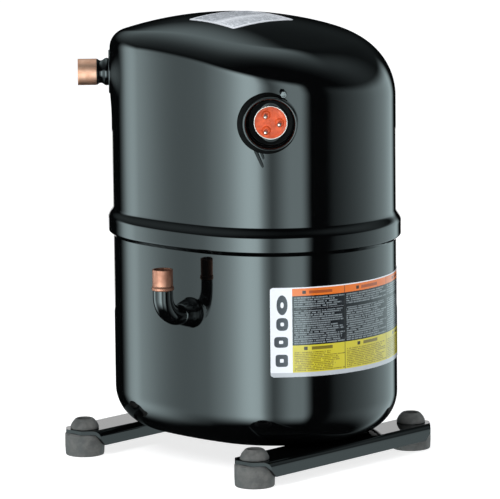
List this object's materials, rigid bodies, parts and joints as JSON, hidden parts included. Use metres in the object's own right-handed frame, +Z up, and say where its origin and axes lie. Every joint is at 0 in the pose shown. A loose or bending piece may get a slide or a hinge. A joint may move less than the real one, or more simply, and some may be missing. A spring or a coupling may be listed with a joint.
{
  "type": "hermetic reciprocating compressor",
  "caption": "Welded black steel compressor shell on two mounting rails with rubber feet, holding a spring-mounted motor and reciprocating pump; copper suction and discharge stubs.",
  "frame": {"origin": "on the floor under the feet, in the middle of the square of four foot bolts", "axes": "+Z up, +X along the two mounting rails away from the discharge stub, +Y across the rails towards the suction stub"},
  "size_m": [0.2461, 0.2532, 0.3637],
  "materials": {
    "shell_paint": "gloss black baked enamel, slightly wavy over pressed steel",
    "copper_tube": "drawn copper tube, dull satin with faint handling marks",
    "foot_rubber": "moulded dark grey rubber, matte",
    "zinc_steel": "zinc plated steel, satin",
    "terminal_seal": "orange moulded seal, semi gloss",
    "foil_label": null,
    "cast_iron": "grey iron, as cast and machined",
    "spring_steel": "bright oiled steel",
    "core_steel": "stack of blued electrical steel sheets",
    "winding_wire": "enamelled copper winding, laced and varnished",
    "die_cast": "die cast aluminium",
    "bronze": "sintered bronze",
    "wiring_plastic": "dark moulded plastic and lead insulation",
    "gasket_fibre": "pressed gasket fibre"
  },
  "bodies": {
    "shell": {"upper_shell": "shell_paint", "lower_shell": "shell_paint", "seam_weld_bead": "shell_paint", "mounting_rail_front": "shell_paint", "mounting_rail_rear": "shell_paint", "grommet_front_left": "foot_rubber", "grommet_front_right": "foot_rubber", "grommet_rear_left": "foot_rubber", "grommet_rear_right": "foot_rubber", "grommet_sleeves": "zinc_steel", "suction_fitting": "shell_paint", "suction_stub": "copper_tube", "discharge_elbow": "shell_paint", "discharge_weld_collar": "shell_paint", "discharge_stub": "copper_tube", "terminal_fence": "shell_paint", "terminal_cup": "zinc_steel", "terminal_insulator": "terminal_seal", "terminal_pins": "zinc_steel", "ground_stud": "zinc_steel", "terminal_cover_strap": "shell_paint", "nameplate": "foil_label", "side_label": "foil_label", "lower_spring_seats": "spring_steel", "lead_plug": "wiring_plastic", "motor_leads": "wiring_plastic", "shock_loop_tube": "spring_steel", "suspension_springs": "spring_steel"},
    "pump": {"cylinder_block": "cast_iron", "main_bearing_bush": "bronze", "end_bearing_plate": "cast_iron", "end_bearing_bush": "bronze", "deck_gasket": "gasket_fibre", "head_gasket": "gasket_fibre", "valve_plate": "spring_steel", "suction_reeds": "spring_steel", "discharge_reeds": "spring_steel", "valve_stops": "spring_steel", "cylinder_head": "cast_iron", "head_bolts": "zinc_steel", "discharge_muffler": "spring_steel", "upper_spring_seats": "spring_steel", "stator_core": "core_steel", "stator_windings": "winding_wire", "motor_bolts": "zinc_steel", "motor_protector": "wiring_plastic"},
    "crank": {"crankshaft": "cast_iron", "oil_pickup": "spring_steel", "rotor_core": "core_steel", "rotor_end_rings": "die_cast", "rotor_counterweight": "bronze"},
    "lower_rod": {"connecting_rod_lower": "die_cast", "wrist_pin_lower": "spring_steel"},
    "upper_rod": {"connecting_rod_upper": "die_cast", "wrist_pin_upper": "spring_steel"},
    "lower_piston": {"piston_lower": "cast_iron", "piston_rings_lower": "spring_steel"},
    "upper_piston": {"piston_upper": "cast_iron", "piston_rings_upper": "spring_steel"}
  },
  "joints": [
    {"name": "suspension_travel", "type": "slide", "parent": "shell", "child": "pump", "axis": [0, 0, 1], "range_m": [-0.003, 0.003], "stiffness_N_per_m": 40000, "springref_m": 0.00601, "deforming": ["suspension_springs", "shock_loop_tube", "motor_leads"]},
    {"name": "crank_spin", "type": "hinge", "parent": "pump", "child": "crank", "pos_m": [0.0047, 0.015, 0.168], "axis": [0, 0, 1], "continuous": true},
    {"name": "lower_rod_swing", "type": "hinge", "parent": "crank", "child": "lower_rod", "pos_m": [0.0047, 0.0065, 0.07], "axis": [0, 0, 1], "continuous": true},
    {"name": "upper_rod_swing", "type": "hinge", "parent": "crank", "child": "upper_rod", "pos_m": [0.0047, 0.0235, 0.127], "axis": [0, 0, 1], "continuous": true},
    {"name": "lower_piston_stroke", "type": "slide", "parent": "pump", "child": "lower_piston", "axis": [0, 1, 0], "range_m": [0, 0.017]},
    {"name": "upper_piston_stroke", "type": "slide", "parent": "pump", "child": "upper_piston", "axis": [0, -1, 0], "range_m": [0, 0.017]}
  ],
  "couplings": [
    {"joint": "lower_rod_swing", "follows": "crank_spin", "ratio": -1},
    {"joint": "upper_rod_swing", "follows": "crank_spin", "ratio": -1}
  ]
}
